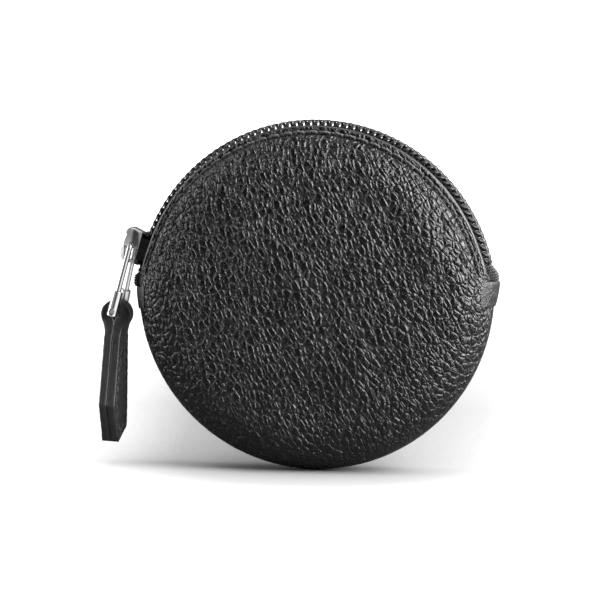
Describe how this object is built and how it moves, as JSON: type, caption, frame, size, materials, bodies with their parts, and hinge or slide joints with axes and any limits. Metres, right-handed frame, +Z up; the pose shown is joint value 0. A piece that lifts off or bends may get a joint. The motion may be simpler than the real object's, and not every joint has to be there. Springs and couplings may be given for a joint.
{
  "type": "coin purse",
  "caption": "Round leather coin purse with a zip over its top half, a front lip that folds open, and a leather pull tab on a chromed link.",
  "frame": {"origin": "on the middle of the flat back, level with the centre of the zip's arc", "axes": "+Y out of the flat back, so the front faces -Y; +Z up towards the middle of the zip; +X towards the zip's open end"},
  "size_m": [0.101, 0.02, 0.0865],
  "materials": {
    "grained_leather": "black pebble grain, semi-matt",
    "smooth_leather": "black, fine grain",
    "lining_cloth": "black woven lining",
    "zip_tape": "black knitted tape",
    "zip_coil": "black nylon",
    "thread": "black bonded thread",
    "chrome": "polished"
  },
  "bodies": {
    "pouch": {"back_panel": "grained_leather", "front_panel": "grained_leather", "front_lining": "lining_cloth", "back_lining": "lining_cloth", "zip_tape_back": "zip_tape", "zip_teeth_back": "zip_coil", "zip_tape_ends": "zip_tape", "top_stops": "zip_coil", "bottom_stop": "zip_coil", "left_ear": "smooth_leather", "right_ear": "smooth_leather", "back_panel_stitching": "thread", "bottom_seam_stitching": "thread"},
    "front_lip": {"front_panel_lip": "grained_leather", "front_lining_lip": "lining_cloth", "zip_tape_front": "zip_tape", "zip_teeth_front": "zip_coil", "front_panel_stitching": "thread"},
    "slider": {"slider_body": "chrome", "slider_bridge": "chrome", "lock_pawl": "chrome"},
    "pull_link": {"pull_link_wire": "chrome", "pull_barrels": "chrome", "pull_pin": "chrome"},
    "pull_tab": {"pull_tab": "grained_leather", "pull_tab_stitching": "thread"}
  },
  "joints": [
    {"name": "slider_travel", "type": "hinge", "parent": "pouch", "child": "slider", "pos_m": [0, -0.01, 0], "axis": [0, 1, 0], "range_deg": [0, 143], "deforming": ["zip_teeth_back", "zip_tape_back"]},
    {"name": "mouth_open", "type": "hinge", "parent": "pouch", "child": "front_lip", "pos_m": [0, -0.01, 0.00375], "axis": [1, 0, 0], "range_deg": [0, 25], "deforming": ["zip_teeth_front", "zip_tape_front"]},
    {"name": "pull_link_swing", "type": "hinge", "parent": "slider", "child": "pull_link", "pos_m": [-0.04626, -0.01, 0.0137], "axis": [0, 1, 0], "range_deg": [-2, 150]},
    {"name": "pull_tab_swing", "type": "hinge", "parent": "pull_link", "child": "pull_tab", "pos_m": [-0.05038, -0.01, -0.00279], "axis": [0, 1, 0], "range_deg": [-2, 60]}
  ],
  "couplings": [
    {"joint": "mouth_open", "follows": "slider_travel", "ratio": 0.1748}
  ]
}
